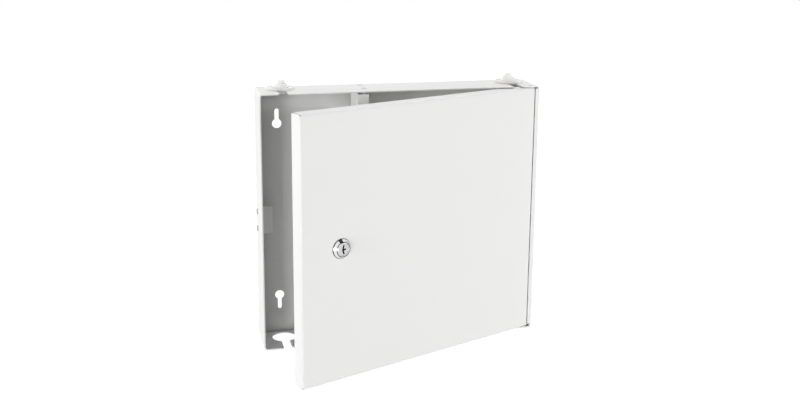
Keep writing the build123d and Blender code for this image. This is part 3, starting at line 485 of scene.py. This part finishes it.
def threaded_stud(name, length, base, direction):
    """A stud with a true helical thread, from its foot at base along direction."""
    mesh = bmesh.new()
    rows = int(length / STUD_PITCH * STEPS_PER_PITCH)
    rings = []
    for row in range(rows + 1):
        height = length * row / rows
        ring = []
        for step in range(STEPS_ROUND):
            turn = step / STEPS_ROUND
            phase = (height / STUD_PITCH - turn) % 1.0
            ridge = 1 - abs(2 * phase - 1)
            taper = min(1.0, (length - height) / STUD_PITCH,
                        (height - FOOT_HEIGHT) / STUD_PITCH)
            ridge *= max(0.0, taper)
            radius = STUD_ROOT_RADIUS + (STUD_RADIUS - STUD_ROOT_RADIUS) * ridge
            if height <= FOOT_HEIGHT:
                radius = FOOT_RADIUS - (FOOT_RADIUS - STUD_RADIUS) * (height / FOOT_HEIGHT) ** 3
            angle = turn * math.tau
            place = (radius * math.cos(angle), radius * math.sin(angle), height)
            ring.append(mesh.verts.new(place))
        rings.append(ring)
    for lower, upper in zip(rings, rings[1:]):
        for step in range(STEPS_ROUND):
            after = (step + 1) % STEPS_ROUND
            mesh.faces.new((lower[step], lower[after], upper[after], upper[step]))
    mesh.faces.new(list(reversed(rings[0])))
    mesh.faces.new(rings[-1])
    data = bpy.data.meshes.new(name)
    mesh.to_mesh(data)
    mesh.free()
    stud = bpy.data.objects.new(name, data)
    bpy.context.scene.collection.objects.link(stud)
    turn_to = Vector((0, 0, 1)).rotation_difference(Vector(direction)).to_matrix().to_4x4()
    data.transform(Matrix.Translation(Vector(base)) @ turn_to)
    data.materials.append(stud_copper)
    return stud


stud_copper = plated("copper_flash", (0.66, 0.44, 0.32), 0.3, 0.45, 800.0, 2.0, 0.00001)


def stud_axis(node, toward):
    """The foot's centre and the length of a CAD stud that points along a unit vector."""
    points = [vertex.co.copy() for vertex in nodes[node].data.vertices]
    along = [point.dot(toward) for point in points]
    foot = min(along)
    at_foot = [point for point, reach in zip(points, along) if reach < foot + 1e-5]
    centre = sum(at_foot, Vector()) / len(at_foot)
    return centre, max(along) - foot


def inward_from_door():
    """The open door's inward normal, which is the lock joint's axis."""
    joint = next(j for j in frame["joints"] if j["name"] == "key_turn")
    return Vector(joint["axis"]).normalized()


for node, body, toward in (("body_earth_stud", "case", Vector((0, -1, 0))),
                           ("door_earth_stud", "door", inward_from_door())):
    foot_centre, stud_length = stud_axis(node, toward)
    stud = threaded_stud(node + "_threaded", stud_length, foot_centre, toward)
    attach(stud, body)
    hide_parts(node)


# The stage: a white sweep well below the box, which hangs free as it would on its wall.
# Soft panels stand round it at the left, the right and above.
FLOOR_Z = -0.42
FLOOR_REACH = 6.0
FLOOR_GREY = (0.3, 0.3, 0.3, 1)
FLOOR_GLOW = 1.12
NEAR_REACH = 0.6
FAR_REACH = 1.6
NEAR_SHARE = 0.86


def seen_rays(tree):
    """One for rays from the camera and for those that metal or glass sends on."""
    rays = tree.nodes.new("ShaderNodeLightPath").outputs
    direct = arithmetic(tree, "MAXIMUM", rays["Is Camera Ray"], rays["Is Glossy Ray"])
    return arithmetic(tree, "MAXIMUM", direct, rays["Is Transmission Ray"])


def stage_material():
    """White to the camera and in reflections, with the object's shadow kept in it."""
    material, tree, shader = empty_material("white_sweep")
    shader.inputs["Base Color"].default_value = FLOOR_GREY
    shader.inputs["Roughness"].default_value = 0.9
    output = tree.nodes["Material Output"]
    seen = seen_rays(tree)
    reach = tree.nodes.new("ShaderNodeVectorMath")
    reach.operation = "LENGTH"
    tree.links.new(tree.nodes.new("ShaderNodeTexCoord").outputs["Object"], reach.inputs[0])
    share = tree.nodes.new("ShaderNodeMapRange")
    tree.links.new(reach.outputs["Value"], share.inputs["Value"])
    share.inputs["From Min"].default_value = NEAR_REACH
    share.inputs["From Max"].default_value = FAR_REACH
    share.inputs["To Min"].default_value = NEAR_SHARE
    share.inputs["To Max"].default_value = 1.0
    glow = tree.nodes.new("ShaderNodeEmission")
    glow.inputs["Strength"].default_value = FLOOR_GLOW
    mixed = tree.nodes.new("ShaderNodeMixShader")
    tree.links.new(product(tree, seen, share.outputs[0]), mixed.inputs["Fac"])
    tree.links.new(shader.outputs["BSDF"], mixed.inputs[1])
    tree.links.new(glow.outputs["Emission"], mixed.inputs[2])
    tree.links.new(mixed.outputs["Shader"], output.inputs["Surface"])
    return material


def sweep():
    """The floor as one large sheet."""
    mesh = bmesh.new()
    corners = [(-1, -1), (1, -1), (1, 1), (-1, 1)]
    mesh.faces.new([mesh.verts.new((x * FLOOR_REACH, y * FLOOR_REACH, FLOOR_Z))
                    for x, y in corners])
    data = bpy.data.meshes.new("floor")
    mesh.to_mesh(data)
    mesh.free()
    floor = bpy.data.objects.new("floor", data)
    bpy.context.scene.collection.objects.link(floor)
    data.materials.append(stage_material())


sweep()

WORLD_LIGHT = 0.04
world = bpy.data.worlds.new("studio")
bpy.context.scene.world = world
world.use_nodes = True
sky = world.node_tree
room = sky.nodes["Background"]
room.inputs["Color"].default_value = (1, 1, 1, 1)
room.inputs["Strength"].default_value = WORLD_LIGHT
white = sky.nodes.new("ShaderNodeBackground")
white.inputs["Color"].default_value = (1, 1, 1, 1)
white.inputs["Strength"].default_value = 1.0
blend_in = sky.nodes.new("ShaderNodeMixShader")
sky.links.new(seen_rays(sky), blend_in.inputs["Fac"])
sky.links.new(room.outputs[0], blend_in.inputs[1])
sky.links.new(white.outputs[0], blend_in.inputs[2])
sky.links.new(blend_in.outputs[0], sky.nodes["World Output"].inputs["Surface"])


def soft_panel(name, location, target, width, power, mirrored=True):
    """A square softbox aimed at a point; mirrored says whether glossy surfaces show it."""
    light = bpy.data.lights.new(name, "AREA")
    light.size = width
    light.energy = power
    lamp = bpy.data.objects.new(name, light)
    lamp.location = location
    lamp.visible_glossy = mirrored
    aim = Vector(target) - Vector(location)
    lamp.rotation_euler = aim.to_track_quat("-Z", "Y").to_euler()
    bpy.context.scene.collection.objects.link(lamp)


soft_panel("key_panel", (-1.08, -1.37, -0.12), (-0.1, -0.05, 0.0), 0.5, 8.5)
soft_panel("left_panel", (-1.55, -0.8, 0.0), (-0.1, -0.05, 0.0), 0.5, 11.0)
soft_panel("side_panel", (-1.6, 0.2, 0.1), (0.0, 0.0, 0.0), 0.8, 8.2)
soft_panel("right_panel", (1.6, -1.55, 0.08), (0.0, -0.1, 0.0), 1.0, 39.0, mirrored=False)
soft_panel("top_panel", (-0.1, 0.28, 1.45), (0.0, -0.05, 0.1), 0.5, 16.5)


def dark_card(name, centre, facing, length, width):
    """A black card beside the lights: the polished metal reflects it, nothing else does."""
    mesh = bmesh.new()
    corners = [(-length, -width), (length, -width), (length, width), (-length, width)]
    mesh.faces.new([mesh.verts.new((x / 2, y / 2, 0)) for x, y in corners])
    data = bpy.data.meshes.new(name)
    mesh.to_mesh(data)
    mesh.free()
    card = bpy.data.objects.new(name, data)
    card.matrix_world = (Matrix.Translation(centre)
                         @ Vector(facing).to_track_quat("Z", "X").to_matrix().to_4x4())
    bpy.context.scene.collection.objects.link(card)
    material, _, shader = empty_material(name)
    shader.inputs["Base Color"].default_value = (0.02, 0.02, 0.02, 1)
    shader.inputs["Roughness"].default_value = 0.9
    data.materials.append(material)
    card.visible_camera = False
    card.visible_diffuse = False
    card.visible_shadow = False
    card.visible_transmission = False


dark_card("overhead_card", (0.22, -0.34, 0.9), (-0.2, 0.1, -1.0), 1.3, 0.6)


# The camera stands at the photograph's viewpoint, a little above the box and left of it.
CAMERA_PLACE = (-0.2650, -1.0970, 0.3130)
CAMERA_YAW = 14.0
CAMERA_PITCH = -12.7
CAMERA_ROLL = 0.5
FOCAL_PIXELS = 1052.0
FRAME_WIDTH = 800
SENSOR_WIDTH = 36.0
FRAME_SHIFT = -0.07

camera = bpy.data.objects.new("camera", bpy.data.cameras.new("camera"))
bpy.context.scene.collection.objects.link(camera)
camera.data.sensor_width = SENSOR_WIDTH
camera.data.lens = FOCAL_PIXELS / FRAME_WIDTH * SENSOR_WIDTH
camera.data.shift_y = FRAME_SHIFT
camera.matrix_world = (Matrix.Translation(CAMERA_PLACE)
                       @ Matrix.Rotation(math.radians(-CAMERA_YAW), 4, "Z")
                       @ Matrix.Rotation(math.radians(90 + CAMERA_PITCH), 4, "X")
                       @ Matrix.Rotation(math.radians(CAMERA_ROLL), 4, "Z"))
bpy.context.scene.camera = camera
bpy.context.scene.view_settings.view_transform = "Standard"
